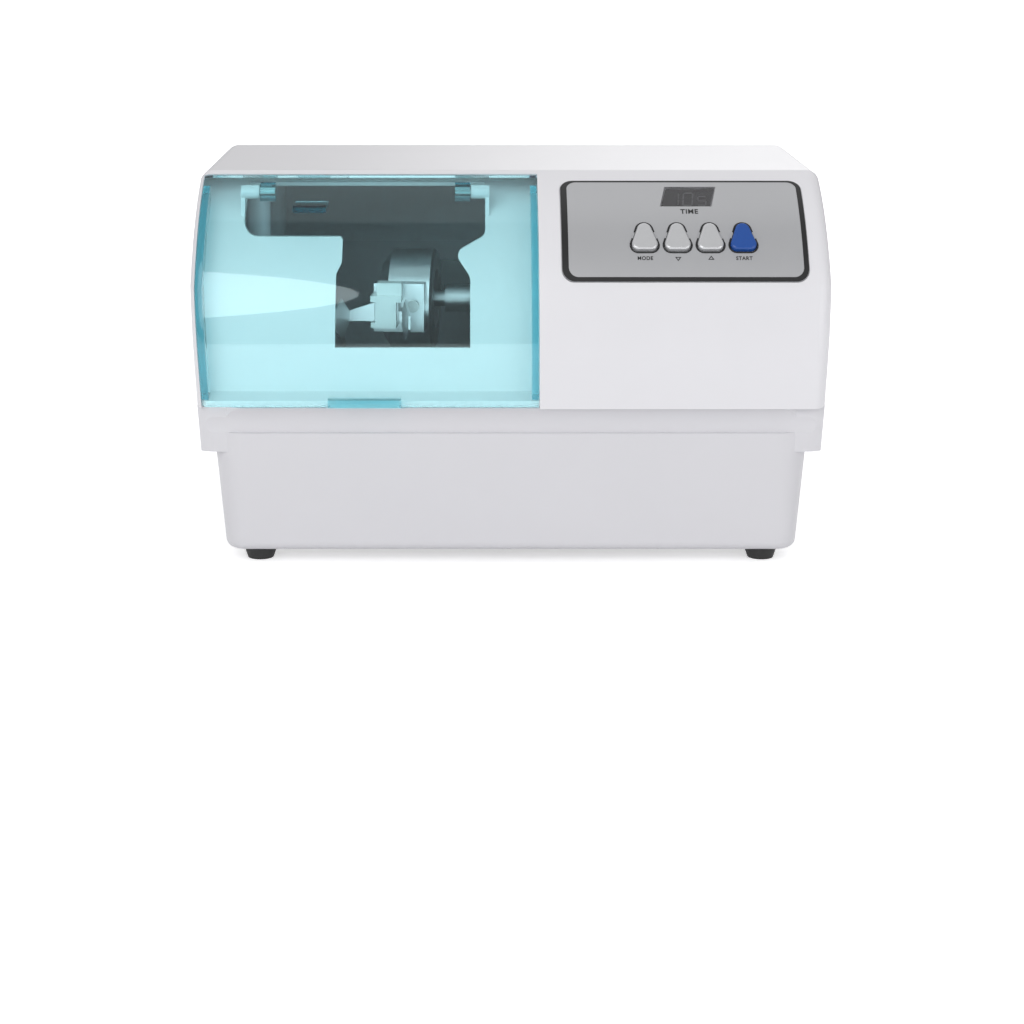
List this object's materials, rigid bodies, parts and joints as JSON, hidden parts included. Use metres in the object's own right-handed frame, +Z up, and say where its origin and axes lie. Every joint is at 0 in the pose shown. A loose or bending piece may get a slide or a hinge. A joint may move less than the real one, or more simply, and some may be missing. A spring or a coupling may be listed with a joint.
{
  "type": "dental amalgamator",
  "caption": "Benchtop mixer for dental capsules: a roll-top case with a flip cover over a sprung capsule clamp shaken by a motor, a keypad, and a rear mains cord.",
  "frame": {"origin": "On the table, below the middle of the machine's bounding box without the cord.", "axes": "X runs left to right as seen from the front, Y runs from the front to the back, Z is up."},
  "size_m": [0.262, 0.3414, 0.1475],
  "materials": {
    "tub_plastic": "fine moulded texture",
    "shell_plastic": "fine moulded texture",
    "cover_blue": "clear tinted, polished",
    "liner_white": "smooth moulded",
    "label_silver": "printed film, satin",
    "display_lens": "tinted, clear",
    "dark_component": "moulded",
    "key_silver": "satin",
    "key_blue": "satin",
    "switch_body": "moulded",
    "circuit_board": "lacquered",
    "screw_steel": "plated",
    "bearing_steel": "ground",
    "drum_alloy": "turned",
    "clamp_white": "moulded",
    "spring_steel": "bright",
    "motor_paint": "satin paint",
    "isolator_rubber": "matt",
    "core_iron": "varnished laminations",
    "winding_tape": "polyester tape",
    "black_plastic": "moulded",
    "fuse_glass": "clear",
    "cord_rubber": "matt",
    "pin_brass": "bright",
    "foot_rubber": "matt"
  },
  "bodies": {
    "housing": {"base_tub": "tub_plastic", "upper_shell": "shell_plastic", "bay_liner": "liner_white", "control_label": "label_silver", "display_window": "display_lens", "display_module": "dark_component", "supply_components": "dark_component", "button_switches": "switch_body", "selector_body": "switch_body", "panel_board": "circuit_board", "supply_board": "circuit_board", "panel_board_screws": "screw_steel", "motor_screws": "screw_steel", "isolator_screws": "screw_steel", "floor_screws": "screw_steel", "case_screws": "screw_steel", "foot_screws": "screw_steel", "selector_screws": "screw_steel", "cover_hinge_pin": "screw_steel", "fuse_nuts": "screw_steel", "retaining_spring": "spring_steel", "motor": "motor_paint", "motor_bracket": "motor_paint", "motor_isolators": "isolator_rubber", "transformer_core": "core_iron", "transformer_winding": "winding_tape", "fuse_holders": "black_plastic", "rocker_frame": "black_plastic", "cord_grommet": "cord_rubber", "cord_free": "cord_rubber", "cord_coil": "cord_rubber", "plug_body": "cord_rubber", "plug_pins": "pin_brass", "foot_front_left": "foot_rubber", "foot_front_right": "foot_rubber", "foot_rear_left": "foot_rubber", "foot_rear_right": "foot_rubber"},
    "cover": {"flip_cover": "cover_blue"},
    "mode_button": {"mode_button": "key_silver"},
    "time_down_button": {"time_down_button": "key_silver"},
    "time_up_button": {"time_up_button": "key_silver"},
    "start_button": {"start_button": "key_blue"},
    "spindle": {"spindle": "bearing_steel", "journal_nut": "screw_steel", "bearing_inner_race": "bearing_steel"},
    "shaker": {"bearing_outer_race": "bearing_steel", "bearing_balls": "bearing_steel", "shaker_drum": "drum_alloy", "drum_cap": "drum_alloy", "clamp_block": "clamp_white", "clamp_screw": "screw_steel", "clip_strip": "spring_steel"},
    "left_clip_arm": {"left_clip_arm": "spring_steel"},
    "right_clip_arm": {"right_clip_arm": "spring_steel"},
    "left_fuse": {"left_fuse": "fuse_glass"},
    "left_fuse_cap": {"left_fuse_cap": "black_plastic"},
    "right_fuse": {"right_fuse": "fuse_glass"},
    "right_fuse_cap": {"right_fuse_cap": "black_plastic"},
    "rocker": {"rocker": "black_plastic"},
    "selector_slider": {"selector_slider": "black_plastic"}
  },
  "joints": [
    {"name": "cover_hinge", "type": "hinge", "parent": "housing", "child": "cover", "pos_m": [-0.0575, -0.05679, 0.13872], "axis": [-1, 0, 0], "range_deg": [0, 95]},
    {"name": "mode_press", "type": "slide", "parent": "housing", "child": "mode_button", "axis": [0, 0.7564, -0.6541], "range_m": [0, 0.0008], "stiffness_N_per_m": 300, "springref_m": -0.0002},
    {"name": "time_down_press", "type": "slide", "parent": "housing", "child": "time_down_button", "axis": [0, 0.7564, -0.6541], "range_m": [0, 0.0008], "stiffness_N_per_m": 300, "springref_m": -0.0002},
    {"name": "time_up_press", "type": "slide", "parent": "housing", "child": "time_up_button", "axis": [0, 0.7564, -0.6541], "range_m": [0, 0.0008], "stiffness_N_per_m": 300, "springref_m": -0.0002},
    {"name": "start_press", "type": "slide", "parent": "housing", "child": "start_button", "axis": [0, 0.7564, -0.6541], "range_m": [0, 0.0008], "stiffness_N_per_m": 300, "springref_m": -0.0002},
    {"name": "spindle_spin", "type": "hinge", "parent": "housing", "child": "spindle", "pos_m": [-0.041, -0.0358, 0.0937], "axis": [1, 0, 0], "continuous": true},
    {"name": "shaker_counter_spin", "type": "hinge", "parent": "spindle", "child": "shaker", "pos_m": [-0.041, -0.0358, 0.0937], "axis": [0.9962, -0.0872, 0], "continuous": true},
    {"name": "left_clip_flex", "type": "hinge", "parent": "shaker", "child": "left_clip_arm", "pos_m": [-0.05334, -0.06323, 0.0937], "axis": [0, 0, -1], "range_deg": [0, 10], "stiffness_Nm_per_rad": 0.05, "springref_deg": -2.86},
    {"name": "right_clip_flex", "type": "hinge", "parent": "shaker", "child": "right_clip_arm", "pos_m": [-0.04407, -0.06404, 0.0937], "axis": [0, 0, 1], "range_deg": [0, 10], "stiffness_Nm_per_rad": 0.05, "springref_deg": -2.86},
    {"name": "right_fuse_pull", "type": "slide", "parent": "housing", "child": "right_fuse", "axis": [0, 0.9938, -0.1115], "range_m": [0, 0.03]},
    {"name": "right_cap_turn", "type": "hinge", "parent": "right_fuse", "child": "right_fuse_cap", "pos_m": [0.063, 0.08571, 0.0185], "axis": [0, 0.9938, -0.1115], "range_deg": [0, 60]},
    {"name": "left_fuse_pull", "type": "slide", "parent": "housing", "child": "left_fuse", "axis": [0, 0.9938, -0.1115], "range_m": [0, 0.03]},
    {"name": "left_cap_turn", "type": "hinge", "parent": "left_fuse", "child": "left_fuse_cap", "pos_m": [0.043, 0.08571, 0.0185], "axis": [0, 0.9938, -0.1115], "range_deg": [0, 60]},
    {"name": "rocker_tip", "type": "hinge", "parent": "housing", "child": "rocker", "pos_m": [0.017, 0.08571, 0.0185], "axis": [0, -0.1115, -0.9938], "range_deg": [0, 16]},
    {"name": "selector_slide", "type": "slide", "parent": "housing", "child": "selector_slider", "axis": [-1, 0, 0], "range_m": [0, 0.004]}
  ],
  "couplings": [
    {"joint": "shaker_counter_spin", "follows": "spindle_spin", "ratio": -1}
  ]
}
